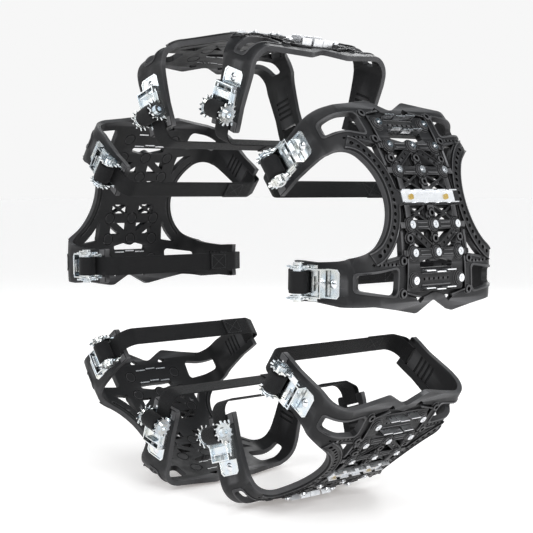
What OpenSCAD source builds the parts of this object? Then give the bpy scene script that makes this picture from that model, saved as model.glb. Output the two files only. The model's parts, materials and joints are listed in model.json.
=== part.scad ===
// Clip-on traction set for one car tire: moulded tread plates with steel cleats,
// each tied through the wheel by two webbing straps that ratchets wind tight.
// The wheel's axle is the Y axis, the outer face of the wheel is at -Y, and +Z is up.

/* [Set] */
// Number of traction units around the wheel
unit_count = 5; // [4:1:5]

/* [Tire] */
// Radius of the tread face that the plates lie on
tread_r = 348.5; // [345:0.5:352]
// Distance between the two sidewalls, where the arms lie
sidewall_gap = 268; // [264:1:274]
// Inner radius of the bend from the tread to a sidewall
shoulder_r = 26; // [24:1:28]

/* [Tread plate] */
// Thickness of the moulded wall
wall = 8; // [7:0.5:9]
// Height of the ribs and bosses above the wall
rib_h = 5; // [4:0.5:6]
// Angle of each arm from the middle of its unit
arm_angle = 19; // [18:0.5:20]
// Radius at which the arms end
arm_end_r = 224; // [220:1:228]
// Width of an arm at its end
arm_end_w = 56; // [54:1:58]

/* [Studs and cleats] */
// Distance between the three columns of studs
stud_pitch_y = 48; // [46:1:50]
// Radius of a stud's flange
stud_r = 5.5; // [4.5:0.5:6.5]
// Length of the serrated channel across the middle
channel_l = 116; // [110:1:120]
// Width of the serrated channel
channel_w = 19; // [17:1:21]
// Thickness of the cleat steel
cleat_t = 1.6; // [1.4:0.1:2]

/* [Ratchet] */
// Width over the two ears
frame_w = 40; // [40:1:42]
// Thickness of the frame's steel
frame_t = 2; // [1.8:0.1:2.2]
// Radius at which the spool's axis lies
spool_r = 249; // [248:0.5:250]
// Height of the spool's axis above the arm
spool_h = 18; // [18:0.5:18.5]
// Number of ratchet teeth
tooth_count = 12; // [12:1:12]
// Travel of the pawl out of the teeth
pawl_travel = 4.5; // [4:0.1:4.6]

/* [Strap] */
// Width of the webbing
strap_w = 30; // [26:1:31]
// Thickness of the webbing
strap_t = 1.6; // [1.2:0.1:1.8]
// Radius at which the strap crosses through the wheel
strap_cross_r = 202; // [198:1:206]

/* [Hidden] */
$fn = 64;
slip = 0.02;            // gap at riveted and pressed pieces
running_gap = 0.05;     // radial gap at a turning or threaded fit
far = 600;              // longer than any cut needs to reach

side_y = sidewall_gap / 2;
face_y = side_y + wall;
shoulder_y = side_y - shoulder_r;
shoulder_z = tread_r - shoulder_r;
wall_top = tread_r + wall;
rib_top = wall_top + rib_h;
plate_split_y = side_y - 6;    // the crown outline and the arm outline meet here

// Rows along the plate, measured along its outer face
stud_rows = [39, 77];
end_stud_row = 114;
cleat_row = 113;
cleat_half = 12;               // from a cleat's middle to each of its blade rows
cleat_top = rib_top + 6;
channel_seat = 2;              // height of the channel's pad above the wall

gap_centre_y = 166;            // centre of the round gap between two arms
gap_r = 84;
rail_w = 20;

strap_bend_r = 20;
bar_w = 12;                    // width of the bar that the inner strap end loops over
slot_w = 5;

ear_x = frame_w / 2;
wheel_t = 2.5;
wheel_x = ear_x + 0.5;
wheel_tip_r = 17.3;
wheel_root_r = 13;
first_tooth_angle = -44;
journal_r = 8;
neck_r = 6;
roll_r = 14;
pawl_h = 11;                   // underside of the pawl above the arm
pawl_t = 2;
pawl_y = 268;
pawl_l = 12;
pawl_x = 24.5;
prong_y = 262;
stop_y = 288;
bolt_y = 300;
frame_y = [232, 312];
bolt_r = 3;
insert_r = 5;

SIDES = ["a", "b"];            // the two arms on the outer face of each unit
UNITS = [0:unit_count - 1];

// ---------- helpers ----------

// Angle along the plate for a length measured on its outer face
function arc_deg(length) = length / wall_top * 180 / PI;

// Points of a rounded corner at b, between the neighbours a and c
function corner(a, b, c, r, steps = 4) =
    let (
        to_a = (a - b) / norm(a - b),
        to_c = (c - b) / norm(c - b),
        half = acos(to_a * to_c) / 2,
        sweep = 180 - 2 * half,
        centre = b + (to_a + to_c) / norm(to_a + to_c) * r / sin(half),
        first = b + to_a * r / tan(half) - centre,
        last = b + to_c * r / tan(half) - centre
    )
    [for (i = [0:steps])
        centre + (first * sin((1 - i / steps) * sweep) + last * sin(i / steps * sweep)) / sin(sweep)];

function xy(p) = [p[0], p[1]];

// A closed outline whose points are [x, y, corner radius]
function rounded(path) =
    let (n = len(path))
    [for (i = [0:n - 1]) each corner(
        xy(path[(i + n - 1) % n]), xy(path[i]), xy(path[(i + 1) % n]), path[i][2])];

// The four mirror images of a quarter outline that starts on the X axis
function four_way(quarter) = concat(
    quarter,
    [for (i = [len(quarter) - 1:-1:1]) [-quarter[i][0], quarter[i][1], quarter[i][2]]],
    [[-quarter[0][0], 0, quarter[0][2]]],
    [for (i = [1:len(quarter) - 1]) [-quarter[i][0], -quarter[i][1], quarter[i][2]]],
    [for (i = [len(quarter) - 1:-1:1]) [quarter[i][0], -quarter[i][1], quarter[i][2]]]
);

module in_unit(k) {
    rotate([0, 360 / unit_count * k, 0]) children();
}

module in_each_unit() {
    for (k = UNITS) in_unit(k) children();
}

function arm_side(s) = s == "a" ? -1 : 1;

module in_arm(k, s) {
    rotate([0, 360 / unit_count * k + arm_side(s) * arm_angle, 0]) children();
}

// The ratchet's frame of reference: X across the strap, Y outward from the axle, Z off the arm
module on_arm(k, s) {
    in_arm(k, s) translate([0, -face_y, 0]) rotate([90, 0, 0]) children();
}

module on_each_arm() {
    for (k = UNITS, s = SIDES) on_arm(k, s) children();
}

module both_ways(axis) {
    children();
    mirror(axis) children();
}

module four_corners() {
    both_ways([1, 0, 0]) both_ways([0, 1, 0]) children();
}

// Extrudes a Y-Z outline along X
module along_x(x0, x1) {
    translate([x0, 0, 0]) rotate([90, 0, 90]) linear_extrude(x1 - x0) children();
}

// Extrudes an X-Y outline along Z over the crown of a unit
module down_z(z0 = 300, z1 = 420) {
    translate([0, 0, z0]) linear_extrude(z1 - z0) children();
}

// Places children on the crown at a length along the plate, with Z pointing outward
module at_row(length) {
    rotate([0, arc_deg(length), 0]) children();
}

module at_each_stud() {
    for (way = [-1, 1]) {
        for (row = stud_rows, col = [-1:1]) {
            at_row(way * row) translate([0, col * stud_pitch_y, 0]) children();
        }
        for (col = [-1, 1]) {
            at_row(way * end_stud_row) translate([0, col * stud_pitch_y, 0]) children();
        }
    }
}

// ---------- tread plate ----------

// Half of the tire's cross-section grown by a margin, as radius and axial position
module tire_section(margin) {
    translate([1, -shoulder_y]) square([tread_r + margin - 1, 2 * shoulder_y]);
    translate([1, -side_y - margin]) square([shoulder_z - 1, 2 * (side_y + margin)]);
    for (way = [-1, 1]) {
        translate([shoulder_z, way * shoulder_y]) circle(shoulder_r + margin);
    }
}

module tire_solid(margin) {
    rotate([90, 0, 0]) rotate_extrude($fn = 180) tire_section(margin);
}

module tire_skin(inner, outer) {
    difference() {
        tire_solid(outer);
        tire_solid(inner);
    }
}

module crown_outline() {
    difference() {
        polygon(rounded(four_way([
            [137, 0, 16],
            [155, 38, 14],
            [148, 80, 40],
            [141, 118, 30],
            [141, 160, 2],
        ])));
        both_ways([0, 1]) translate([0, gap_centre_y]) circle(gap_r, $fn = 120);
    }
}

// Outline of one arm, as width and radius from the axle
module arm_outline(way) {
    half_w = arm_end_w / 2;
    scale([way, 1]) polygon(rounded([
        [-38, 362, 2],
        [-31, 318, 30],
        [-half_w + 1, 262, 20],
        [-half_w, arm_end_r + 14, 6],
        [-half_w, arm_end_r, 5],
        [half_w, arm_end_r, 5],
        [half_w, arm_end_r + 14, 6],
        [half_w - 1, 262, 20],
        [31, 318, 30],
        [32, 362, 2],
    ]));
}

module arms_solid() {
    for (way = [-1, 1]) {
        rotate([0, way * arm_angle, 0]) both_ways([0, 1, 0])
            translate([0, face_y + 10, 0]) rotate([90, 0, 0])
                linear_extrude(face_y + 10 - plate_split_y) arm_outline(way);
    }
}

// The crossed windows beside the channel
module crossed_window() {
    difference() {
        translate([14, 13]) square([17, 32]);
        translate([22.5, 29]) {
            for (tilt = [-60, 60]) rotate(tilt) square([44, 3.4], center = true);
        }
    }
}

// The two triangles that a diagonal bar leaves between four studs
module braced_window() {
    difference() {
        translate([48, 11]) square([20, 34]);
        translate([58, 28]) rotate(-55) square([50, 12], center = true);
    }
}

module end_window() {
    polygon(rounded([
        [97, 33, 2], [90, 35, 3], [84, 14, 3],
        [84, -14, 3], [90, -35, 3], [97, -33, 2],
    ]));
}

module side_window() {
    difference() {
        polygon(rounded([[39, 62, 1], [81, 70, 3], [88, 106, 1]]));
        translate([0, gap_centre_y]) circle(gap_r + rail_w + 3, $fn = 120);
    }
}

module peak_window() {
    polygon(rounded([[136.5, 19, 2], [146, 30, 2], [138, 41, 2]]));
}

module arm_window() {
    polygon(rounded([[-21, 78, 6], [16, 80, 8], [7, 137, 5], [-13, 137, 5]]));
}

module crown_windows() {
    four_corners() {
        crossed_window();
        braced_window();
        side_window();
        peak_window();
    }
    both_ways([1, 0]) end_window();
}

module rail_outline() {
    intersection() {
        crown_outline();
        both_ways([0, 1]) translate([0, gap_centre_y]) difference() {
            circle(gap_r + rail_w, $fn = 120);
            circle(gap_r + 2, $fn = 120);
        }
    }
}

// Ribs that stand above the plate's wall
module rib_outline() {
    for (col = [-1:1]) {
        translate([-84, col * stud_pitch_y - 6]) square([168, 12]);
    }
    both_ways([1, 0]) {
        for (row = stud_rows) {
            translate([row - 6, -stud_pitch_y]) square([12, 2 * stud_pitch_y]);
        }
        translate([99, -37]) square([28, 74]);
        translate([84, stud_pitch_y - 6]) square([40, 12]);
        translate([84, -stud_pitch_y - 6]) square([40, 12]);
    }
    rail_outline();
}

module stud_hole() {
    cylinder(r = stud_r / 2 + running_gap, h = far);
}

module cleat_slots() {
    translate([0, 0, 340]) linear_extrude(10.4 + tread_r - 348.5)
        square([2 * cleat_half + cleat_t + 1.4, 73], center = true);
    for (way = [-1, 1], tooth = [-1:1]) {
        translate([way * cleat_half + blade_offset(tooth), tooth * 22, 340])
            linear_extrude(far) square([cleat_t + 0.4, 19.4], center = true);
    }
}

module strap_slot() {
    translate([0, side_y + wall / 2, arm_end_r + bar_w + slot_w / 2])
        cube([strap_w + 3, wall + 2, slot_w], center = true);
}

module insert_seat() {
    translate([0, -side_y, bolt_y]) rotate([90, 0, 0]) {
        translate([0, 0, -1]) cylinder(r = insert_r + slip, h = wall);
        cylinder(r = bolt_r + 0.2, h = wall + 1);
    }
}

// The flat pad under the channel, and the room that the ribs leave for it
module channel_pad() {
    translate([-channel_w / 2 - 2, -channel_l / 2 - 3, wall_top - 4])
        cube([channel_w + 4, channel_l + 6, channel_seat + 4]);
}

module channel_pocket() {
    translate([-channel_w / 2 - 1, -channel_l / 2 - 1, wall_top + channel_seat])
        cube([channel_w + 2, channel_l + 2, far]);
}

module tread_plate(k) {
    color([0.1, 0.1, 0.11]) in_unit(k) difference() {
        union() {
            intersection() {
                tire_skin(0, wall);
                union() {
                    intersection() {
                        down_z() crown_outline();
                        cube([far, 2 * plate_split_y + 4, 2 * far], center = true);
                    }
                    arms_solid();
                }
            }
            intersection() {
                tire_skin(wall - 1, wall + rib_h - 1);
                down_z() rib_outline();
            }
            at_each_stud() translate([0, 0, wall_top - 2]) cylinder(r = 9, h = rib_h + 2);
            channel_pad();
        }
        channel_pocket();
        down_z() crown_windows();
        for (way = [-1, 1]) {
            rotate([0, way * arm_angle, 0]) {
                down_z(320) both_ways([0, 1]) scale([way, 1]) arm_window();
                strap_slot();
                insert_seat();
            }
            at_row(way * cleat_row) cleat_slots();
        }
        at_each_stud() translate([0, 0, tread_r + 1]) stud_hole();
        for (way = [-1, 1]) {
            translate([0, way * 37, tread_r + 1]) cylinder(r = 2 + running_gap, h = far);
        }
    }
}

// ---------- metal on the tread ----------

module tread_studs() {
    color("gainsboro") in_each_unit() at_each_stud() {
        translate([0, 0, tread_r + 1.5]) cylinder(r = stud_r / 2, h = rib_top - tread_r - 1);
        translate([0, 0, rib_top]) cylinder(r = stud_r, h = 2.5);
        translate([0, 0, rib_top + 2]) cylinder(r = 0.3 * stud_r, h = 2.5);
    }
}

// The middle blade of each row stands a little out of line
function blade_offset(tooth) = tooth == 0 ? 2 : 0;

module end_cleat() {
    base_z = tread_r + 0.1;
    base_w = 2 * cleat_half + cleat_t + 1;
    translate([0, 0, base_z + cleat_t / 2]) cube([base_w, 72, cleat_t], center = true);
    for (way = [-1, 1], tooth = [-1:1]) {
        translate([way * cleat_half + blade_offset(tooth) - cleat_t / 2, tooth * 22 - 9.5, base_z])
            cube([cleat_t, 19, cleat_top - base_z]);
    }
}

module end_cleats() {
    color("silver") in_each_unit() for (way = [-1, 1]) at_row(way * cleat_row) end_cleat();
}

// Channels whose two walls are cut into teeth and run a little past the base at each end
module centre_channels() {
    seat_z = wall_top + channel_seat;
    notch_n = 4;
    notch_pitch = 25;
    color("silver") in_each_unit() difference() {
        translate([-channel_w / 2, -channel_l / 2, seat_z]) cube([channel_w, channel_l, 7]);
        translate([-channel_w / 2 + cleat_t, -channel_l / 2 - 1, seat_z + cleat_t])
            cube([channel_w - 2 * cleat_t, channel_l + 2, 7]);
        for (i = [0:notch_n - 1], way = [-1, 1]) {
            translate([way * channel_w / 2, (i - (notch_n - 1) / 2) * notch_pitch, seat_z + 6])
                cube([4 * cleat_t, 8, 5], center = true);
        }
        for (way = [-1, 1]) {
            translate([0, way * channel_l / 2, seat_z])
                cube([channel_w - 2 * cleat_t, 5, 2 * cleat_t + 1], center = true);
            translate([0, way * 37, seat_z - 1]) cylinder(r = 2.2, h = 5);
        }
    }
}

module channel_screws() {
    seat_z = wall_top + channel_seat + cleat_t;
    color("goldenrod") in_each_unit() for (way = [-1, 1]) {
        translate([0, way * 37, 0]) {
            translate([0, 0, tread_r + 2]) cylinder(r = 2, h = seat_z - tread_r - 1);
            difference() {
                translate([0, 0, seat_z]) cylinder(r = 4, h = 2.2);
                translate([0, 0, seat_z + 2.2]) cube([0.9, 9, 2], center = true);
            }
        }
    }
}

// ---------- ratchet, in the arm's frame of reference ----------

module bolt_hole(r) {
    translate([0, bolt_y, -1]) cylinder(r = r, h = frame_t + 2);
}

module ear_outline() {
    difference() {
        union() {
            translate([spool_r, spool_h]) circle(12);
            translate([spool_r - 12, 0]) square([24, spool_h]);
            translate([spool_r, 0]) square([stop_y + 2 - spool_r, spool_h - 1]);
        }
        translate([spool_r, spool_h]) circle(journal_r);
        translate([pawl_y - 0.4, pawl_h - 0.3])
            square([pawl_l + pawl_travel + 1, pawl_t + 0.6]);
    }
}

// The base plate's outline, whose outer corners are cut off
module frame_outline(inset) {
    x = ear_x - inset;
    y = frame_y[1] - inset;
    polygon([[-x, frame_y[0]], [x, frame_y[0]], [x, y - 4.5], [x - 4.5, y], [4.5 - x, y], [-x, y - 4.5]]);
}

module ratchet_frame(k, s) {
    color("lightsteelblue") on_arm(k, s) {
        difference() {
            linear_extrude(frame_t) frame_outline(0);
            bolt_hole(bolt_r + 0.1);
        }
        linear_extrude(frame_t + 1.2) difference() {
            frame_outline(0);
            frame_outline(1.8);
            translate([-far, -far]) square([2 * far, far + stop_y]);
        }
        both_ways([1, 0, 0]) along_x(ear_x - frame_t, ear_x) ear_outline();
        translate([-ear_x, stop_y, 7]) cube([frame_w, frame_t, spool_h - 8]);
    }
}

module ratchet_wheel() {
    pitch = 360 / tooth_count;
    difference() {
        polygon([for (i = [0:tooth_count - 1], p = [
            [wheel_root_r, 0], [wheel_tip_r, 1], [wheel_tip_r, 6], [wheel_root_r, 15],
        ]) let (a = first_tooth_angle + i * pitch + p[1]) p[0] * [cos(a), sin(a)]]);
        circle(neck_r);
    }
}

module spool_shaft() {
    head_x = wheel_x + wheel_t;
    difference() {
        union() {
            along_x(-wheel_x + slip, wheel_x - slip) circle(journal_r - running_gap);
            along_x(-head_x - slip, head_x + slip) circle(neck_r - slip);
            both_ways([1, 0, 0]) along_x(head_x + slip, head_x + 4) circle(7.5);
        }
        translate([-strap_w / 2 - 1.5, -10, -1.6]) cube([strap_w + 3, 20, 3.2]);
        both_ways([1, 0, 0]) along_x(head_x, head_x + 5) circle(3.5);
    }
}

module ratchet_spool(k, s) {
    color("silver") on_arm(k, s) translate([0, spool_r, spool_h]) {
        spool_shaft();
        both_ways([1, 0, 0]) along_x(wheel_x, wheel_x + wheel_t) ratchet_wheel();
    }
}

module strap_roll(k, s) {
    color([0.13, 0.13, 0.14]) on_arm(k, s) translate([0, spool_r, spool_h])
        along_x(-strap_w / 2, strap_w / 2) difference() {
            circle(roll_r);
            circle(journal_r);
        }
}

module pawl_plate(k, s) {
    color("silver") on_arm(k, s) {
        translate([-pawl_x, pawl_y, pawl_h]) cube([2 * pawl_x, pawl_l, pawl_t]);
        both_ways([1, 0, 0]) translate([ear_x + 0.4, prong_y, pawl_h])
            cube([pawl_x - ear_x - 0.4, pawl_y - prong_y, pawl_t]);
        translate([-10, pawl_y + pawl_l - 1.5, pawl_h]) cube([20, 1.5, 9]);
    }
}

module pawl_springs() {
    color("dimgray") on_each_arm() translate([0, pawl_y + pawl_l, pawl_h + pawl_t / 2])
        rotate([-90, 0, 0]) difference() {
            cylinder(r = 2.4, h = stop_y - pawl_y - pawl_l);
            translate([0, 0, -1]) cylinder(r = 1.6, h = 12);
        }
}

module frame_bolts() {
    dome_r = 8.5;
    color("gainsboro") on_each_arm() translate([0, bolt_y, 0]) {
        translate([0, 0, -wall + 1.5]) cylinder(r = bolt_r - running_gap, h = wall + frame_t - 1);
        intersection() {
            translate([0, 0, frame_t]) cylinder(r = 6.5, h = 3);
            translate([0, 0, frame_t + 3 - dome_r]) sphere(dome_r);
        }
    }
}

module arm_inserts() {
    color("gray") on_each_arm() translate([0, bolt_y, -wall]) difference() {
        cylinder(r = insert_r, h = wall - 1);
        translate([0, 0, -1]) cylinder(r = bolt_r, h = wall + 1);
    }
}

// ---------- straps ----------

// A quarter bend of webbing about the X axis, from -Y towards -Z or the mirror of it
module strap_bend(y, way) {
    translate([0, y, arm_end_r - 2]) scale([1, way, 1]) intersection() {
        along_x(-strap_w / 2, strap_w / 2) difference() {
            circle(strap_bend_r + strap_t / 2);
            circle(strap_bend_r - strap_t / 2);
        }
        translate([-strap_w, 0, -60]) cube([2 * strap_w, 60, 60]);
    }
}

module strap_box(y, z) {
    translate([-strap_w / 2, y[0], z[0]]) cube([strap_w, y[1] - y[0], z[1] - z[0]]);
}

// Ratchet side, then the run through the wheel, then the loop over the inner arm's bar
module strap() {
    bend_z = arm_end_r - 2;
    outer_y = -face_y - frame_t - strap_t;
    outer_bend_y = outer_y + strap_t / 2 + strap_bend_r;
    inner_bend_y = side_y - strap_t / 2 - strap_bend_r;
    run_z = bend_z - strap_bend_r;
    loop_top = arm_end_r + bar_w + 0.2 + strap_t;
    strap_box([outer_y, outer_y + strap_t], [bend_z, spool_r]);
    strap_bend(outer_bend_y, -1);
    strap_box([outer_bend_y, inner_bend_y], [run_z - strap_t / 2, run_z + strap_t / 2]);
    strap_bend(inner_bend_y, 1);
    strap_box([side_y - strap_t, side_y], [bend_z, loop_top]);
    strap_box([side_y - strap_t, face_y + strap_t], [loop_top - strap_t, loop_top]);
    strap_box([face_y, face_y + strap_t], [bend_z - 6, loop_top]);
    strap_box([side_y - strap_t, face_y + strap_t], [bend_z - 6, bend_z - 6 + strap_t]);
}

module strap_pair(k) {
    color([0.13, 0.13, 0.14]) for (s = SIDES) in_arm(k, s) strap();
}

// ---------- the parts ----------

for (k = UNITS) {
    tread_plate(k);
    strap_pair(k);
}
for (k = UNITS, s = SIDES) {
    ratchet_frame(k, s);
    ratchet_spool(k, s);
    pawl_plate(k, s);
    strap_roll(k, s);
}
tread_studs();
end_cleats();
centre_channels();
channel_screws();
frame_bolts();
arm_inserts();
pawl_springs();
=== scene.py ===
"""Looks of a clip-on traction set for one car tire: five moulded tread plates with steel cleats,
tied through the wheel by webbing straps that ratchets wind tight.

Lengths are in millimetres until a mesh is written, which turns them into metres."""
import json
import math

import bmesh
import bpy
import numpy as np
from mathutils import Matrix, Vector, geometry


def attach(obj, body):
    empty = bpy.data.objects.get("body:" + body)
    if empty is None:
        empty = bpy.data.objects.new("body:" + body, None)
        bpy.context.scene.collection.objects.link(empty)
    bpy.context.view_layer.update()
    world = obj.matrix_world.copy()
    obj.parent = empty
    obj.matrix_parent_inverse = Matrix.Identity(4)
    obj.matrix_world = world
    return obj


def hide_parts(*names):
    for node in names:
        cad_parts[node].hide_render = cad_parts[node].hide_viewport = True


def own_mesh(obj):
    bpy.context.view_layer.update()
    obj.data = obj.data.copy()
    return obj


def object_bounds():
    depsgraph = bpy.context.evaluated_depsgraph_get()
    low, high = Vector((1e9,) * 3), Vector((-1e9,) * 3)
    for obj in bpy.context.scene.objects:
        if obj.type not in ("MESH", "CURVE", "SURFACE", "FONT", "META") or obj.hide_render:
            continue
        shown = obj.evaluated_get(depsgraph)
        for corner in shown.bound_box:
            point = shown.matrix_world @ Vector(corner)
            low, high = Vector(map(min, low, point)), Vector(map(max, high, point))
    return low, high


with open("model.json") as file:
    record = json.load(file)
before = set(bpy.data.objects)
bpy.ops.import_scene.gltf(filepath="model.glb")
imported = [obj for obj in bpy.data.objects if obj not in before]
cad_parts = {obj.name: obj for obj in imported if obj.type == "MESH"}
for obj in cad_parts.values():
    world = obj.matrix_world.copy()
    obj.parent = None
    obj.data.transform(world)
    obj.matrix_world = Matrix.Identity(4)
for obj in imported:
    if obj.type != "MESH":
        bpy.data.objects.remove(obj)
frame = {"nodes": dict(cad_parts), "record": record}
cad_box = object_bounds()

MM = 0.001

# The plates, the letters of a plate's two ratchet arms with the way each lies from its middle,
# and every ratchet arm of the set
UNITS = range(5)
SIDES = {"a": -1, "b": 1}
ARMS = [(unit, side) for unit in UNITS for side in SIDES]

# The tire that the plates lie on, and the wall of the moulding
TREAD_R = 348.5
SIDE_Y = 134.0
SHOULDER_R = 26.0
WALL = 8.0
CROWN = SIDE_Y - SHOULDER_R
SHOULDER_Z = TREAD_R - SHOULDER_R
OUTER_R = TREAD_R + WALL
BEND_R = SHOULDER_R + WALL / 2
BEND_V = BEND_R * math.pi / 2
ARM_DEG = 19.0
ARM_U = math.radians(ARM_DEG) * OUTER_R
ARM_END_R = 224.0
UNIT_DEG = 72.0

# Heights above the moulding's inner face
FIELD = 6.0
LEVEL = 8.0
PANEL = 9.0
RAIL = 10.0
SEAT = 10.0
RIB = 11.5
COLLAR = 13.0
GROOVE = 1.3
VOID = None


# ---------- outlines in the flat ----------
# A plate is drawn flat: u runs along the tread, v across it and down both sidewalls.

def corner_points(before, here, after, radius, steps):
    """Points along the round corner of the given radius at here."""
    here = Vector(here)
    to_last = (Vector(before) - here).normalized()
    to_next = (Vector(after) - here).normalized()
    half = to_last.angle(to_next) / 2
    centre = here + (to_last + to_next).normalized() * radius / math.sin(half)
    first = here + to_last * radius / math.tan(half) - centre
    last = here + to_next * radius / math.tan(half) - centre
    sweep = math.pi - 2 * half
    parts = [step / steps for step in range(steps + 1)]
    return [tuple(centre + (first * math.sin((1 - t) * sweep) + last * math.sin(t * sweep))
                  / math.sin(sweep)) for t in parts]


def rounded(path, steps=4):
    """Points of a closed outline whose corners are (u, v, radius)."""
    points = []
    for i, (u, v, radius) in enumerate(path):
        after = path[(i + 1) % len(path)]
        points += corner_points(path[i - 1][:2], (u, v), after[:2], radius, steps)
    return points


def rounded_run(path, steps=10):
    """Points of an open path: its two ends, and round corners (x, y, radius) between them."""
    points = [path[0]]
    for before, here, after in zip(path, path[1:], path[2:]):
        points += corner_points(before[:2], here[:2], after[:2], here[2], steps)
    return points + [path[-1]]


def disc(u, v, radius, steps=16):
    turn = 2 * math.pi / steps
    return [(u + radius * math.cos((i + 0.5) * turn), v + radius * math.sin((i + 0.5) * turn))
            for i in range(steps)]


def bar(start, end, width):
    """A straight bar between two points."""
    a = Vector(start)
    b = Vector(end)
    side = (b - a).normalized().orthogonal() * width / 2
    return [tuple(a + side), tuple(a - side), tuple(b - side), tuple(b + side)]


def block(u0, u1, v0, v1):
    return [(u0, v0), (u1, v0), (u1, v1), (u0, v1)]


def arc(centre, radius, start_deg, end_deg, steps):
    turns = [math.radians(start_deg + (end_deg - start_deg) * i / steps) for i in range(steps + 1)]
    return [(centre[0] + radius * math.cos(t), centre[1] + radius * math.sin(t)) for t in turns]


def arc_band(centre, inner, outer, start_deg, end_deg, steps):
    return (arc(centre, inner, start_deg, end_deg, steps)
            + arc(centre, outer, end_deg, start_deg, steps))


def flipped(points, way_u, way_v):
    """The outline mirrored about either middle line, still running the same way round."""
    moved = [(u * way_u, v * way_v) for u, v in points]
    return moved[::-1] if way_u * way_v < 0 else moved


# Mirrorings: as drawn, into all four corners, to both ends of the plate, or to both of its sides
ONCE = [(1, 1)]
FOUR_WAYS = [(1, 1), (-1, 1), (-1, -1), (1, -1)]
END_WAYS = [(1, 1), (-1, 1)]
SIDE_WAYS = [(1, 1), (1, -1)]

# Places on the flat drawing
GAP_CENTRE = (0.0, 166.0)
GAP_R = 84.0
RAIL_NEAR = GAP_R + 2
RAIL_FAR = GAP_R + 20
RAIL_ARC = (-152, -28)
STUD_ROWS = (39.0, 77.0)
END_STUD_ROW = 114.0
STUD_V = 48.0
CLEAT_U = 113.0
CLEAT_HALF = 12.0
TOOTH_PITCH = 22.0
ARM_END_V = CROWN + BEND_V + SHOULDER_Z - ARM_END_R
BAR_W = 12.0
STRAP_SLOT_V = ARM_END_V - BAR_W
INSERT_V = ARM_END_V - 76

# One end's studs
STUDS = [(row, col * STUD_V) for row in STUD_ROWS for col in (-1, 0, 1)]
STUDS += [(END_STUD_ROW, -STUD_V), (END_STUD_ROW, STUD_V)]


def plate_outline():
    side = [
        (160.5, 37, 14), (152.7, 80, 40), (146.5, 120, 30), (149.2, 165, 40),
        (ARM_U + 27, 215, 20), (ARM_U + 28, 240, 6), (ARM_U + 28, ARM_END_V, 5),
    ]
    across = side + [(-u, v, r) for u, v, r in side[::-1]]
    path = [(140.6, 0, 16)] + across + [(-140.6, 0, 16)] + [(-u, -v, r) for u, v, r in across]
    return rounded(path)


def side_gap():
    """The round gap between the two arms of one side, open at its far end."""
    edge = [(90.2, ARM_END_V + 4), (90.2, 240), (91.2, 215), (89.4, 190), (87.4, 170), (85.2, 158)]
    return (edge + arc(GAP_CENTRE, GAP_R, -10, -170, 40)
            + [(-u, v) for u, v in edge[::-1]])[::-1]


# ---------- the plate's features ----------
# Each function draws one kind of them with put(mirrorings, how, height, *outlines).

def rails_and_gaps(put):
    """The sunken field between the rails, the raised rails, and the gaps that they edge."""
    put(ONCE, "set", FIELD, rounded([
        (131, 0, 6), (140, 30, 5), (134, 62, 6), (60, 62, 4), (-60, 62, 4), (-134, 62, 6),
        (-140, 30, 5), (-131, 0, 6), (-140, -30, 5), (-134, -62, 6), (-60, -62, 4), (60, -62, 4),
        (134, -62, 6), (140, -30, 5)]))
    put(SIDE_WAYS, "set", RAIL, arc_band(GAP_CENTRE, RAIL_NEAR, RAIL_FAR, *RAIL_ARC, 40))
    put(SIDE_WAYS, "add", 1.3,
        arc_band(GAP_CENTRE, RAIL_NEAR, RAIL_NEAR + 1.8, *RAIL_ARC, 40),
        arc_band(GAP_CENTRE, RAIL_FAR - 1.8, RAIL_FAR, *RAIL_ARC, 40))
    put(SIDE_WAYS, "set", VOID, side_gap())


def cleat_panels(put):
    """The panels that carry the cleats, and ribs round their outer corners."""
    put(END_WAYS, "set", PANEL, rounded([(82, -58, 5), (130, -58, 5), (130, 58, 5), (82, 58, 5)]))
    put(FOUR_WAYS, "set", RIB, bar((84, 60), (130, 62), 2.2), bar((130, 62), (137, 33), 2.2))


def crossed_windows(put):
    """Windows between the studs, and the bars that cross them."""
    put(FOUR_WAYS, "set", VOID, block(14, 31, 13, 45), block(48, 68, 11, 45))
    put(FOUR_WAYS, "set", PANEL, bar((12, 11), (33, 47), 3.4), bar((33, 11), (12, 47), 3.4),
        disc(22.5, 29, 4.2))
    put(FOUR_WAYS, "set", RAIL, bar((46, 45), (70, 11), 12))
    put(FOUR_WAYS, "set", RIB, bar((41.6, 42), (65.6, 8), 1.6), bar((50.4, 48), (74.4, 14), 1.6))


def stud_ribs(put):
    """Ribs that join the studs."""
    put(SIDE_WAYS, "set", RIB, block(-84, 84, 44.5, 54))
    put(ONCE, "set", RIB, block(-84, 84, -6.5, 6.5))
    for row in STUD_ROWS:
        put(END_WAYS, "set", RIB, block(row - 6, row + 6, -STUD_V, STUD_V))
        put(FOUR_WAYS, "set", RIB, block(row - 4, row + 4, STUD_V, 68))
        put(FOUR_WAYS, "add", 1.0, block(row - 3.6, row - 2, 14, 34), block(row + 2, row + 3.6, 14, 34))
    put(SIDE_WAYS, "set", RAIL, block(-11, 11, 54, 68))


def outer_windows(put):
    """Windows behind each cleat, under each peak, beside each rail and in each arm."""
    put(END_WAYS, "set", VOID, rounded([
        (97, 33, 2), (90, 35, 3), (85, 14, 3), (85, -14, 3), (90, -35, 3), (97, -33, 2)]))
    put(FOUR_WAYS, "set", VOID, rounded([(136.5, 19, 2), (146, 30, 2), (138, 41, 2)]))
    rail_side = arc(GAP_CENTRE, RAIL_FAR + 3, -66, -38, 10)
    middle_u, middle_v = rail_side[5]
    put(FOUR_WAYS, "add", 1.2, rounded([
        (39, 63, 3), (middle_u, middle_v + 1, 8), (89, 107, 3), (83, 67, 4)]))
    put(FOUR_WAYS, "set", VOID, rail_side + [(80, 70)])
    put(FOUR_WAYS, "add", 1.3, rounded([(94, 75, 7), (137, 77, 9), (128, 146, 7), (102, 146, 7)]))
    put(FOUR_WAYS, "set", VOID, rounded([(97, 78, 6), (134, 80, 8), (125, 142, 5), (105, 142, 5)]))


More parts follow.
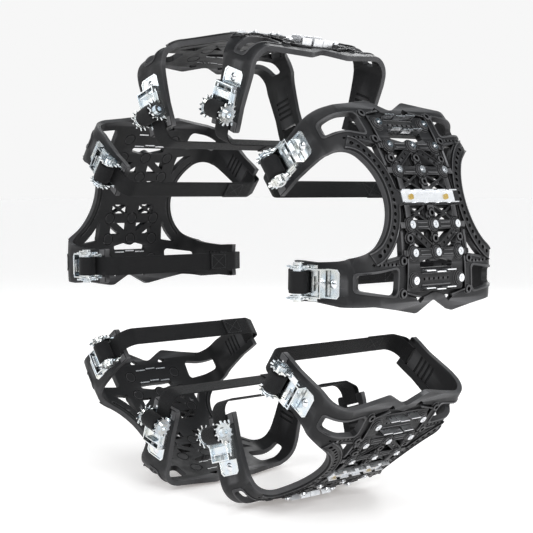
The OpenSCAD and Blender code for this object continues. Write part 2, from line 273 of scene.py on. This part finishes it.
def collars_and_bosses(put):
    """The channel's seat, a stepped collar round each stud, and the small ring bosses."""
    put(ONCE, "set", SEAT, block(-11.5, 11.5, -61, 61))
    for u, v in STUDS:
        put(END_WAYS, "set", RAIL, disc(u, v, 11.5, 28))
        put(END_WAYS, "set", RIB + 0.3, disc(u, v, 9.6, 24))
        put(END_WAYS, "set", COLLAR, disc(u, v, 7.6, 24))
    rings = [(57, 53), (87, 69), (131, 69)]
    for ways, u, v in [(FOUR_WAYS, *ring) for ring in rings] + [(END_WAYS, u, 0) for u in (22.5, 58)]:
        put(ways, "set", RAIL - 1, disc(u, v, 7.4, 20))
        put(ways, "set", RIB + 0.8, disc(u, v, 5.8, 20))
        put(ways, "set", FIELD, disc(u, v, 3.1, 16))


def cleat_slots(put):
    """The slots for each cleat's two rows of blades, each row in a shallow trench."""
    for way in (-1, 1):
        for row in (-CLEAT_HALF, CLEAT_HALF):
            u = way * CLEAT_U + row
            put(ONCE, "set", LEVEL - 0.5, block(u - 2.6, u + 3.6, -33, 33))
            for tooth, step in ((-TOOTH_PITCH, 0), (0, 2), (TOOTH_PITCH, 0)):
                put(ONCE, "set", VOID, block(u + step - 1, u + step + 1, tooth - 9.7, tooth + 9.7))


def dimples(put):
    """Rows of round dimples, and two low ridges between each cleat's rows of blades."""
    pits = [disc(*arc(GAP_CENTRE, GAP_R + 11, deg, deg, 1)[0], 2.9, 12)
            for deg in np.arange(-148, -31, 6.0)]
    put(SIDE_WAYS, "add", -3, *pits)
    put(END_WAYS, "add", -2.4, *[disc(CLEAT_U, v, 1.9, 12) for v in np.arange(-25, 26, 10.0)])
    put(END_WAYS, "add", 0.8, block(103.5, 106, -30, 30), block(120, 122.5, -30, 30))
    put(FOUR_WAYS, "add", -2, *[disc(58 + 2.6 * i, 28 - 3.7 * i, 1.9, 12) for i in (-2.4, 0, 2.4)])
    put(FOUR_WAYS, "add", -2.4, *[disc(91, v, 1.9, 12) for v in np.arange(81, 125, 8.0)])


def arm_ends(put):
    """Strap guides on every arm, a slot in each inner arm and an insert's hole in each outer one."""
    put(FOUR_WAYS, "add", 1.6, block(ARM_U - 27, ARM_U - 17.5, 238, ARM_END_V - 1.5),
        block(ARM_U + 17.5, ARM_U + 27, 238, ARM_END_V - 1.5))
    put(END_WAYS, "set", VOID, block(ARM_U - 16.5, ARM_U + 16.5, STRAP_SLOT_V - 5, STRAP_SLOT_V))
    put(END_WAYS, "set", VOID, disc(ARM_U, -INSERT_V, 5.1, 24))


def underside(put):
    """Grip grooves on the arms and along the rails, and a ring round each stud's flange."""
    put(FOUR_WAYS, "core", GROOVE,
        *[block(ARM_U - 15, ARM_U + 15, v, v + 4) for v in (190, 199, 208, 217)])
    put(SIDE_WAYS, "core", GROOVE, arc_band(GAP_CENTRE, RAIL_NEAR + 4, RAIL_NEAR + 8, -140, -40, 30))
    for u, v in STUDS:
        put(END_WAYS, "core", GROOVE, disc(u, v, 11.0, 28))
        put(END_WAYS, "core", 0.0, disc(u, v, 9.0, 24))


def plate_features():
    """What shapes the plate, each as (outline, "set", "add" or "core", height).

    Set and add work on the top and core on the foot, and a later feature wins over an earlier."""
    made = []

    def put(ways, how, height, *outlines):
        for points in outlines:
            for way_u, way_v in ways:
                made.append((flipped(points, way_u, way_v), how, height))

    for draw in (rails_and_gaps, cleat_panels, crossed_windows, stud_ribs, outer_windows,
                 collars_and_bosses, cleat_slots, dimples, arm_ends, underside):
        draw(put)
    return made


# ---------- from the flat drawing to a bent solid ----------

def inner_point(loop):
    """A point inside a cell: the middle of its largest triangle."""
    triangles = geometry.tessellate_polygon([[p.to_3d() for p in loop]])
    corners = max(([loop[i] for i in t] for t in triangles),
                  key=lambda c: abs((c[1] - c[0]).cross(c[2] - c[0])))
    return sum(corners, Vector((0, 0))) / 3


def inside(loop, probes):
    """Which of the probes lie inside a closed outline."""
    a = np.array(loop)
    b = np.roll(a, -1, axis=0)
    held = np.all((probes >= a.min(axis=0)) & (probes <= a.max(axis=0)), axis=1)
    u, v = probes[held, :1], probes[held, 1:]
    straddles = (a[:, 1] > v) != (b[:, 1] > v)
    rise = np.where(b[:, 1] == a[:, 1], 1.0, b[:, 1] - a[:, 1])
    crossing = a[:, 0] + (v - a[:, 1]) / rise * (b[:, 0] - a[:, 0])
    held[held] = (straddles & (u < crossing)).sum(axis=1) % 2 == 1
    return held


def cut_cells(outlines, lines):
    """Flat points and the cells among them, cut along closed outlines and straight lines."""
    points = []
    loops = []
    for outline in outlines:
        loops.append(list(range(len(points), len(points) + len(outline))))
        points += [Vector(p) for p in outline]
    cuts = []
    for start, end in lines:
        cuts.append((len(points), len(points) + 1))
        points += [Vector(start), Vector(end)]
    flat, _, cells, _, _, _ = geometry.delaunay_2d_cdt(points, cuts, loops, 4, 0.001, True)
    return flat, cells


def cell_spans(outline, features, probes):
    """The foot and top that the features give at each probe, or VOID where nothing stands."""
    tops = np.full(len(probes), np.nan)
    feet = np.zeros(len(probes))
    solid = inside(outline, probes)
    tops[solid] = LEVEL
    for loop, how, height in features:
        held = inside(loop, probes) & solid
        if how == "set":
            tops[held] = np.nan if height is VOID else height
        elif how == "add":
            tops[held] += height
        else:
            feet[held] = height
    return [VOID if np.isnan(top) else (float(foot), float(top)) for foot, top in zip(feet, tops)]


def terraces(outline, features, lines):
    """A closed solid over a flat drawing, with the foot and top that the features give each cell.

    Returns points as (u, v, height) and faces. Lines only cut the cells, so that they can bend."""
    flat, cells = cut_cells([outline] + [feature[0] for feature in features], lines)
    probes = np.array([inner_point([flat[v] for v in cell]) for cell in cells])
    spans = cell_spans(outline, features, probes)

    beside = {}
    around = {}
    for cell, span in zip(cells, spans):
        for a, b in zip(cell, cell[1:] + cell[:1]):
            beside[(a, b)] = span
            if span is not VOID:
                around.setdefault(a, set()).update(span)

    corners = []
    index = {}

    def corner(vertex, height):
        key = (vertex, round(height, 3))
        if key not in index:
            index[key] = len(corners)
            corners.append((flat[vertex][0], flat[vertex][1], height))
        return index[key]

    def rise(vertex, low, high):
        steps = sorted(h for h in around.get(vertex, ()) if low < h < high)
        return [corner(vertex, h) for h in [low, *steps, high]]

    faces = []
    for cell, span in zip(cells, spans):
        if span is VOID:
            continue
        foot, top = span
        faces.append([corner(v, top) for v in cell])
        faces.append([corner(v, foot) for v in reversed(cell)])
        for a, b in zip(cell, cell[1:] + cell[:1]):
            other_foot, other_top = beside.get((b, a), VOID) or (top, top)
            for low, high in ((foot, min(other_foot, top)), (max(other_top, foot), top)):
                if low < high:
                    faces.append(rise(a, low, high)[::-1] + rise(b, low, high))
    return corners, faces


def bent(u, v, h):
    """Where a point of the flat drawing lies once the plate is bent around the tire."""
    past = max(abs(v) - CROWN, 0.0)
    turn = min(past, BEND_V) / BEND_R
    down = max(past - BEND_V, 0.0)
    radius = SHOULDER_Z + (SHOULDER_R + h) * math.cos(turn) - down
    outer = SHOULDER_Z + (SHOULDER_R + WALL) * math.cos(turn) - down
    y = min(abs(v), CROWN) + (SHOULDER_R + h) * math.sin(turn)
    middle = math.copysign(ARM_U, u)
    angle = middle / OUTER_R + (u - middle) / outer
    return (radius * math.sin(angle) * MM, math.copysign(y, v) * MM, radius * math.cos(angle) * MM)


def mesh_from(name, points, faces):
    mesh = bpy.data.meshes.new(name)
    mesh.from_pydata(points, [], faces)
    mesh.update()
    return mesh


def add_object(name, mesh, material, body, *nodes):
    """A piece that rides on a body, and stands for the CAD nodes named."""
    piece = bpy.data.objects.new(name, mesh)
    bpy.context.scene.collection.objects.link(piece)
    mesh.materials.clear()
    mesh.materials.append(material)
    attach(piece, body)
    if nodes:
        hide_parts(*nodes)
    return piece


def plate_mesh():
    reach_u = 165
    reach_v = ARM_END_V + 6
    bends = 12
    # bend lines run past the outline, at a spacing that keeps them off the features' own edges
    lines = [((u, -reach_v), (u, reach_v)) for u in np.arange(-154.7, 160, 10.3)]
    for i in range(bends + 1):
        v = CROWN + BEND_V * i / bends
        lines += [((-reach_u, v), (reach_u, v)), ((-reach_u, -v), (reach_u, -v))]
    corners, faces = terraces(plate_outline(), plate_features(), lines)
    return mesh_from("tread_moulding", [bent(*c) for c in corners], faces)


def smooth(mesh, degrees=40):
    mesh.shade_smooth()
    mesh.set_sharp_from_angle(angle=math.radians(degrees))
    return mesh


def round_edges(piece, width, least_degrees):
    """Adds a small bevel on a piece's sharp edges, and evens out its normals."""
    bevel = piece.modifiers.new("Bevel", "BEVEL")
    bevel.width = width * MM
    bevel.segments = 2
    bevel.limit_method = "ANGLE"
    bevel.angle_limit = math.radians(least_degrees)
    even = piece.modifiers.new("Even normals", "WEIGHTED_NORMAL")
    even.keep_sharp = True
    return bevel


def bevelled(mesh, width):
    """The mesh with its edges rounded for good, so that each plate can take a copy."""
    source = bpy.data.objects.new("bevel_source", smooth(mesh))
    bpy.context.scene.collection.objects.link(source)
    round_edges(source, width, 50).use_clamp_overlap = False
    graph = bpy.context.evaluated_depsgraph_get()
    shaped = bpy.data.meshes.new_from_object(source.evaluated_get(graph))
    shaped.name = mesh.name
    bpy.data.objects.remove(source)
    return shaped


# ---------- webbing, thread and wire ----------
# An arm's own frame: t across the strap, y along the axle, and the distance from the axle.

STRAP_W = 30.0
STRAP_T = 1.6
FACE_Y = SIDE_Y + WALL
FRAME_T = 2.0

# The spool: how far its axis is from the axle and from the arm's face, its shaft and its roll
SPOOL_R = 249.0
SPOOL_H = 18.0
SHAFT_R = 8.1
ROLL_R = 14.0
ROLL_TURNS = 3.6

# The strap's way through the wheel, over the inner arm's bar, and back to its sewn end
BAR_GAP = 0.2
TAIL_GAP = 0.05
CROSS_R = 202.0
CROSS_BEND = 20.0
BAR_TOP_R = ARM_END_R + BAR_W + BAR_GAP + STRAP_T / 2
LOOP_R = 212.0
LOOP_END_Y = 120.0
TAIL_R = CROSS_R - STRAP_T - TAIL_GAP
TAIL_END_Y = 64.0
SEWN_LENGTH = 30.0

# The pawl's spring, along the arm between the pawl and the frame's stop
SPRING_START = 280.0
SPRING_END = 288.0
SPRING_H = 12.0


def arm_turn(unit, side):
    return Matrix.Rotation(math.radians(UNIT_DEG * unit + SIDES[side] * ARM_DEG), 4, "Y")


def heading(spots, i):
    """The way a path runs at one of its points."""
    return (spots[min(i + 1, len(spots) - 1)] - spots[max(i - 1, 0)]).normalized()


def swept(name, points, ring_size):
    """A closed skin over rings of points that follow one another along a path."""
    faces = []
    last = len(points) - ring_size
    for start in range(0, last, ring_size):
        for j in range(ring_size):
            k = (j + 1) % ring_size
            faces.append((start + j, start + ring_size + j, start + ring_size + k, start + k))
    faces.append(tuple(range(ring_size)))
    faces.append(tuple(last + j for j in reversed(range(ring_size))))
    return mesh_from(name, points, faces)


def ribbon(name, path):
    """Webbing swept along a path of (y, radius) points. Its UVs are millimetres along and across."""
    half_t = STRAP_T / 2
    half_w = STRAP_W / 2 - half_t
    edge_steps = 3
    strips = 6
    edge = [math.pi * i / edge_steps - math.pi / 2 for i in range(edge_steps + 1)]
    ring = [(half_w + half_t * math.cos(a), half_t * math.sin(a)) for a in edge]
    ring += [(half_w - 2 * half_w * i / strips, half_t) for i in range(1, strips)]
    ring += [(-x, -h) for x, h in ring]
    spots = [Vector(p) for p in path]
    points = []
    along = [0.0]
    for a, b in zip(spots, spots[1:]):
        along.append(along[-1] + (b - a).length)
    for i, spot in enumerate(spots):
        ahead = heading(spots, i)
        side = Vector((-ahead.y, ahead.x))
        for x, h in ring:
            at = spot + side * h
            points.append((x * MM, at.x * MM, at.y * MM))
    mesh = swept(name, points, len(ring))
    weave = mesh.uv_layers.new(name="weave")
    for loop in mesh.loops:
        i, j = divmod(loop.vertex_index, len(ring))
        weave.data[loop.index].uv = (along[i], ring[j][0])
    return mesh


def dense(path, step=4.0):
    """The path with extra points, so that none is further than step from the next."""
    spots = [Vector(p) for p in path]
    points = [tuple(spots[0])]
    for a, b in zip(spots, spots[1:]):
        count = max(1, math.ceil((b - a).length / step))
        points += [tuple(a.lerp(b, i / count)) for i in range(1, count + 1)]
    return points


def strap_path():
    """From under the roll, through the wheel, up the inner arm, over its bar and back."""
    outer_y = -FACE_Y - FRAME_T - STRAP_T / 2
    inner_y = SIDE_Y - STRAP_T / 2
    loop_y = FACE_Y + STRAP_T / 2
    curl = arc((-FACE_Y - SPOOL_H, SPOOL_R), ROLL_R + 1.2, 30, 0, 5)
    return curl + rounded_run([
        (outer_y, SPOOL_R - 0.5), (outer_y, CROSS_R, CROSS_BEND), (inner_y, CROSS_R, CROSS_BEND),
        (inner_y, BAR_TOP_R, 1.4), (loop_y, BAR_TOP_R, 1.4), (loop_y, LOOP_R, 9),
        (LOOP_END_Y, TAIL_R, 14), (TAIL_END_Y, TAIL_R)])


def roll_path():
    """The strap's turns on the spool, from the outside in, about the spool's axis."""
    steps = 110
    outer = ROLL_R - STRAP_T / 2
    inner = SHAFT_R + STRAP_T / 2
    points = []
    for i in range(steps + 1):
        part = i / steps
        turn = 2 * math.pi * ROLL_TURNS * part
        radius = outer + (inner - outer) * part
        points.append((radius * math.cos(turn), radius * math.sin(turn)))
    return points


def joined(name, parts):
    """One mesh from several."""
    grown = bmesh.new()
    for part in parts:
        grown.from_mesh(part)
    mesh = bpy.data.meshes.new(name)
    grown.to_mesh(mesh)
    grown.free()
    return mesh


def tube(name, path, radius, sides):
    """A round wire or thread along 3-D points, with closed ends."""
    spots = [Vector(p) for p in path]
    points = []
    lead = Vector((0, 0, 1))
    for i, spot in enumerate(spots):
        ahead = heading(spots, i)
        side = ahead.cross(lead)
        side = side.normalized() if side.length > 1e-6 else ahead.orthogonal().normalized()
        lead = side.cross(ahead)
        for j in range(sides):
            turn = 2 * math.pi * j / sides
            points.append((spot + (side * math.cos(turn) + lead * math.sin(turn)) * radius) * MM)
    return swept(name, points, sides)


def stitch_row(start, end, height, way, pitch=3.4):
    """Thread stitches on a flat face: each rises the given way and dips in at its two ends."""
    a = Vector(start)
    b = Vector(end)
    count = max(1, round((b - a).length / pitch))
    rows = []
    for i in range(count):
        first = a.lerp(b, (i + 0.12) / count)
        last = a.lerp(b, (i + 0.88) / count)
        middle = (first + last) / 2
        rise = [(first, -0.25), (first.lerp(middle, 0.4), 0.22), (middle, 0.32),
                (last.lerp(middle, 0.4), 0.22), (last, -0.25)]
        rows.append(tube("stitch", [(p.x, p.y, height + way * h) for p, h in rise], 0.33, 6))
    return rows


def box_stitch():
    """A sewn box with a cross, on both faces of the doubled strap."""
    half = STRAP_W / 2 - 3.2
    y0 = TAIL_END_Y + 3
    y1 = y0 + SEWN_LENGTH
    box = [(-half, y0), (half, y0), (half, y1), (-half, y1)]
    lines = list(zip(box, box[1:] + box[:1])) + [(box[0], box[2]), (box[1], box[3])]
    faces = [(CROSS_R + STRAP_T / 2, 1), (TAIL_R - STRAP_T / 2, -1)]
    rows = [row for face, way in faces for a, b in lines for row in stitch_row(a, b, face, way)]
    return smooth(joined("box_stitch", rows), 60)


def spring_mesh():
    """A helix whose end turns are closed."""
    wire = 0.36
    coil = 2.0
    turns = 6
    closed = 0.7
    per_turn = 14
    length = SPRING_END - SPRING_START - 2 * wire
    points = []
    for i in range(turns * per_turn + 1):
        part = i / (turns * per_turn)
        eased = min(max((part * turns - closed) / (turns - 2 * closed), 0), 1)
        turn = 2 * math.pi * turns * part
        points.append((coil * math.cos(turn), -FACE_Y - SPRING_H + coil * math.sin(turn),
                       SPRING_START + wire + length * eased + wire * (part - 0.5)))
    return smooth(tube("pawl_spring", points, wire, 8), 60)


# ---------- materials ----------

def new_material(name, colour, roughness, metallic=0.0):
    """A material, its node tree and its shader."""
    material = bpy.data.materials.new(name)
    material.use_nodes = True
    tree = material.node_tree
    shader = tree.nodes["Principled BSDF"]
    shader.inputs["Base Color"].default_value = (*colour, 1)
    shader.inputs["Roughness"].default_value = roughness
    shader.inputs["Metallic"].default_value = metallic
    return material, tree, shader


def node(tree, kind, **settings):
    """A node of the kind, with its unlinked inputs and its properties set by name."""
    made = tree.nodes.new("ShaderNode" + kind)
    for key, value in settings.items():
        if key in made.inputs:
            made.inputs[key].default_value = value
        else:
            setattr(made, key, value)
    return made


def maths(tree, operation, a, b=None):
    """A Math node over sockets or numbers."""
    made = node(tree, "Math", operation=operation)
    for i, value in enumerate((a, b)):
        if value is None:
            continue
        if isinstance(value, (int, float)):
            made.inputs[i].default_value = value
        else:
            tree.links.new(value, made.inputs[i])
    return made.outputs[0]


def noise(tree, scale, detail=4.0):
    """Noise over the piece's own coordinates, in features per metre."""
    made = node(tree, "TexNoise", Scale=scale, Detail=detail)
    tree.links.new(node(tree, "TexCoord").outputs["Object"], made.inputs["Vector"])
    return made.outputs["Fac"]


def ramp(tree, factor, low, high, start=0.3, end=0.7):
    """A colour ramp from low to high; each is a grey number or an RGB colour."""
    made = node(tree, "ValToRGB")
    stops = made.color_ramp.elements
    for stop, place, colour in ((stops[0], start, low), (stops[1], end, high)):
        stop.position = place
        grey = isinstance(colour, (int, float))
        stop.color = (colour, colour, colour, 1) if grey else (*colour, 1)
    tree.links.new(factor, made.inputs["Fac"])
    return made.outputs["Color"]


def bump(tree, shader, *layers):
    """Stacks bumps, each a (height socket, depth in metres)."""
    normal = None
    for height, depth in layers:
        made = node(tree, "Bump", Strength=1.0, Distance=depth)
        tree.links.new(height, made.inputs["Height"])
        if normal:
            tree.links.new(normal, made.inputs["Normal"])
        normal = made.outputs["Normal"]
    tree.links.new(normal, shader.inputs["Normal"])


def mixed(tree, base, layer, factor=1.0, blend="MIX"):
    """The base colour with a layer over it; the layer and the factor may be sockets or values."""
    made = node(tree, "Mix", data_type="RGBA", blend_type=blend)
    for i, value in ((0, factor), (6, base), (7, layer)):
        if isinstance(value, bpy.types.NodeSocket):
            tree.links.new(value, made.inputs[i])
        else:
            made.inputs[i].default_value = value
    return made.outputs[2]


def moulded_tpu():
    """Black polyurethane from a textured mould, with painted shade in its recesses and pale edges that
    are partly wear and partly painted highlight.
    """
    material, tree, shader = new_material("moulded_tpu", (0.02, 0.02, 0.021), 0.42)
    # Painted shade: ambient occlusion darkens the colour in the recesses, where shade falls.
    painted_shade_mask = node(tree, "AmbientOcclusion", only_local=True, samples=8, Distance=0.03).outputs["AO"]
    body = ramp(tree, painted_shade_mask, (0.001, 0.001, 0.0012), (0.017, 0.017, 0.018), 0.45, 0.97)
    # Pale edges, partly edge wear and partly painted highlight, laid over the painted shade.
    edges = ramp(tree, node(tree, "NewGeometry").outputs["Pointiness"], 0.0, 1.0, 0.51, 0.60)
    shade_and_rim_highlight = mixed(tree, body, (0.15, 0.15, 0.155, 1), edges)
    patches = ramp(tree, noise(tree, 18), (0.93, 0.93, 0.94), (1.15, 1.14, 1.13))
    tree.links.new(mixed(tree, shade_and_rim_highlight, patches, blend="MULTIPLY"), shader.inputs["Base Color"])
    tree.links.new(ramp(tree, noise(tree, 60), 0.36, 0.52), shader.inputs["Roughness"])
    shader.inputs["Specular IOR Level"].default_value = 0.17
    bump(tree, shader, (noise(tree, 2600, 2), 0.00006), (noise(tree, 90, 2), 0.0003))
    return material


def webbing():
    """Plain-woven nylon: warp columns across the strap, each half a pick out from the next."""
    material, tree, shader = new_material("webbing", (0.016, 0.016, 0.018), 0.62)
    column_width = 1.35
    pick_length = 1.9
    weave = node(tree, "UVMap", uv_map="weave")
    split = node(tree, "SeparateXYZ")
    tree.links.new(weave.outputs["UV"], split.inputs[0])
    column = maths(tree, "DIVIDE", split.outputs[1], column_width)
    pick = maths(tree, "DIVIDE", split.outputs[0], pick_length)
    shift = maths(tree, "MULTIPLY", maths(tree, "MODULO", maths(tree, "FLOOR", column), 2.0), 0.5)
    yarn = maths(tree, "ABSOLUTE", maths(tree, "SINE", maths(tree, "MULTIPLY", column, math.pi)))
    turn = maths(tree, "MULTIPLY", maths(tree, "ADD", pick, shift), math.pi)
    over = maths(tree, "ABSOLUTE", maths(tree, "SINE", turn))
    height = maths(tree, "MULTIPLY", maths(tree, "POWER", yarn, 0.5), maths(tree, "POWER", over, 0.6))
    fibres = noise(tree, 5200, 2)
    # Painted shade: the weave's dips are coloured darker than its raised yarn.
    colour = ramp(tree, height, (0.002, 0.002, 0.0025), (0.011, 0.011, 0.012), 0.15, 0.95)
    tree.links.new(colour, shader.inputs["Base Color"])
    shader.inputs["Specular IOR Level"].default_value = 0.18
    shader.inputs["Sheen Weight"].default_value = 0.05
    shader.inputs["Sheen Roughness"].default_value = 0.45
    bump(tree, shader, (height, 0.00035), (fibres, 0.00008))
    return material


def patchy(name, colour, cast, roughness, metallic=1.0, wear=True):
    """A colour with a faint cast in patches and a fine grain, worn bright on its edges if asked."""
    material, tree, shader = new_material(name, colour, roughness[0], metallic)
    finish = ramp(tree, noise(tree, 55, 3), colour, cast, 0.35, 0.68)
    if wear:
        worn = ramp(tree, node(tree, "NewGeometry").outputs["Pointiness"], 0.0, 0.7, 0.5, 0.62)
        finish = mixed(tree, finish, (0.9, 0.9, 0.91, 1), worn)
    tree.links.new(finish, shader.inputs["Base Color"])
    tree.links.new(ramp(tree, noise(tree, 130, 4), *roughness), shader.inputs["Roughness"])
    bump(tree, shader, (noise(tree, 900, 3), 0.000012), (noise(tree, 30, 1), 0.00004))
    return material


def lit_table():
    """A white table that glows a little, so that it meets the white behind it without a seam."""
    material, tree, shader = new_material("lit_table", (0.88, 0.88, 0.88), 0.7)
    shader.inputs["Emission Color"].default_value = (1, 0.94, 0.906, 1)
    shader.inputs["Emission Strength"].default_value = 0.298
    tree.links.new(ramp(tree, noise(tree, 3), 0.66, 0.74), shader.inputs["Roughness"])
    return material


TPU = moulded_tpu()
WEBBING = webbing()
THREAD = patchy("thread", (0.03, 0.03, 0.032), (0.05, 0.05, 0.052), (0.5, 0.6), 0.0, wear=False)
ZINC = patchy("zinc_plate", (0.66, 0.73, 0.79), (0.80, 0.80, 0.76), (0.14, 0.26))
CLEAT_STEEL = patchy("cleat_steel", (0.86, 0.87, 0.89), (0.78, 0.79, 0.81), (0.24, 0.36), wear=False)
STUD_STEEL = patchy("stud_steel", (0.80, 0.81, 0.83), (0.70, 0.72, 0.75), (0.14, 0.3))
INSERT_STEEL = patchy("insert_steel", (0.40, 0.41, 0.43), (0.5, 0.5, 0.5), (0.3, 0.45))
SPRING_STEEL = patchy("spring_steel", (0.30, 0.31, 0.33), (0.42, 0.42, 0.43), (0.25, 0.4))
BRASS = patchy("brass", (0.50, 0.34, 0.09), (0.66, 0.48, 0.17), (0.18, 0.32), wear=False)
CAD_FINISH = {"zinc_plate": ZINC, "cleat_steel": CLEAT_STEEL, "stud_steel": STUD_STEEL,
              "insert_steel": INSERT_STEEL, "brass": BRASS}


def finish_cad_nodes():
    """Gives each CAD node that stays its material and rounded edges.

    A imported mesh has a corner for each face, so its corners are welded before the bevel."""
    slots = {part["node"]: part["material_slot"] for part in frame["record"]["subparts"]}
    for name, piece in frame["nodes"].items():
        if slots[name] not in CAD_FINISH:
            continue
        piece.data.materials.clear()
        piece.data.materials.append(CAD_FINISH[slots[name]])
        weld = piece.modifiers.new("Weld", "WELD")
        weld.merge_threshold = 0.002 * MM
        round_edges(piece, 0.3, 40)


# ---------- the pieces ----------

def turned(mesh, turn):
    """A copy of the mesh in its place round the wheel."""
    copy = mesh.copy()
    copy.transform(turn)
    return copy


def add_plates():
    shaped = bevelled(plate_mesh(), 0.45)
    for unit in UNITS:
        number = unit + 1
        turn = Matrix.Rotation(math.radians(UNIT_DEG * unit), 4, "Y")
        piece = add_object(f"tread_moulding_{number}", turned(shaped, turn), TPU, "tread_units",
                           f"tread_plate_{number}")


def add_straps():
    strap = smooth(ribbon("strap", dense(strap_path())), 50)
    roll = ribbon("strap_winding", roll_path())
    roll.transform(Matrix.Translation(Vector((0, -FACE_Y - SPOOL_H, SPOOL_R)) * MM))
    smooth(roll, 50)
    sewing = box_stitch()
    spring = spring_mesh()
    for unit, side in ARMS:
        label = f"{unit + 1}{side}"
        turn = arm_turn(unit, side)
        pair = f"strap_pair_{unit + 1}"
        band = add_object(f"strap_{label}", turned(strap, turn), WEBBING, "tread_units", pair)
        wound = add_object(f"strap_winding_{label}", turned(roll, turn), WEBBING,
                           f"spool_{label}", f"strap_roll_{label}")
        seam = add_object(f"box_stitch_{label}", turned(sewing, turn), THREAD, "tread_units")
        coil = add_object(f"pawl_spring_{label}", turned(spring, turn), SPRING_STEEL,
                          "tread_units", "pawl_springs")
        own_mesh(coil)


# ---------- floor, light and camera ----------

# name, place in metres, power in watts and side in metres
SOFT_BOXES = [
    ("front_box", (0.2, -2.6, 1.7), 15, 1.3),
    ("side_box", (-2.4, -2.0, 0.9), 6, 0.9),
    ("tread_box", (2.9, -0.9, 1.2), 40, 1.1),
    ("rim_box", (2.3, 2.1, 0.6), 12, 2.0),
    ("back_box", (-1.6, 2.6, 2.0), 30, 1.6),
]


def aim(obj, point):
    obj.rotation_euler = (Vector(point) - obj.location).to_track_quat("-Z", "Y").to_euler()


def add_light(name, kind, place, power, **settings):
    data = bpy.data.lights.new(name, kind)
    data.energy = power
    for key, value in settings.items():
        setattr(data, key, value)
    lamp = bpy.data.objects.new(name, data)
    lamp.location = place
    bpy.context.scene.collection.objects.link(lamp)
    aim(lamp, (0, 0, 0))


def add_world():
    """White behind the object, and a dark bluish studio behind the camera for metal to reflect."""
    world = bpy.data.worlds.new("studio")
    bpy.context.scene.world = world
    world.use_nodes = True
    tree = world.node_tree
    place = node(tree, "TexCoord").outputs["Generated"]
    split = node(tree, "SeparateXYZ")
    tree.links.new(place, split.inputs[0])
    across = maths(tree, "ADD", maths(tree, "SUBTRACT", split.outputs[0], split.outputs[1]), 1.0)
    above = maths(tree, "SUBTRACT", maths(tree, "MULTIPLY", split.outputs[2], 2.5), 0.45)
    dark = maths(tree, "MAXIMUM", across, above)
    sky = ramp(tree, dark, (0.93, 0.93, 0.93), (0.06, 0.085, 0.10), 0.36, 0.85)
    tree.links.new(sky, tree.nodes["Background"].inputs["Color"])


def add_stage():
    floor_z = cad_box[0][2]
    bpy.ops.mesh.primitive_plane_add(size=120, location=(0, 0, floor_z))
    floor = bpy.context.object
    floor.name = "floor"
    floor.data.materials.append(lit_table())
    add_light("sun", "SUN", (1.6, -0.9, 2.6), 2.3, angle=math.radians(100))
    for name, place, power, size in SOFT_BOXES:
        add_light(name, "AREA", place, power, size=size)
    add_world()
    bpy.context.scene.view_settings.view_transform = "Standard"


def add_camera():
    azimuth = math.radians(47.5)
    elevation = math.radians(3.4)
    distance = 2.02
    data = bpy.data.cameras.new("camera")
    data.lens = 86
    camera = bpy.data.objects.new("camera", data)
    camera.location = (distance * math.sin(azimuth) * math.cos(elevation),
                       -distance * math.cos(azimuth) * math.cos(elevation),
                       distance * math.sin(elevation))
    bpy.context.scene.collection.objects.link(camera)
    aim(camera, (0.012, 0, 0))
    bpy.context.scene.camera = camera


add_stage()
add_camera()
finish_cad_nodes()
add_plates()
add_straps()
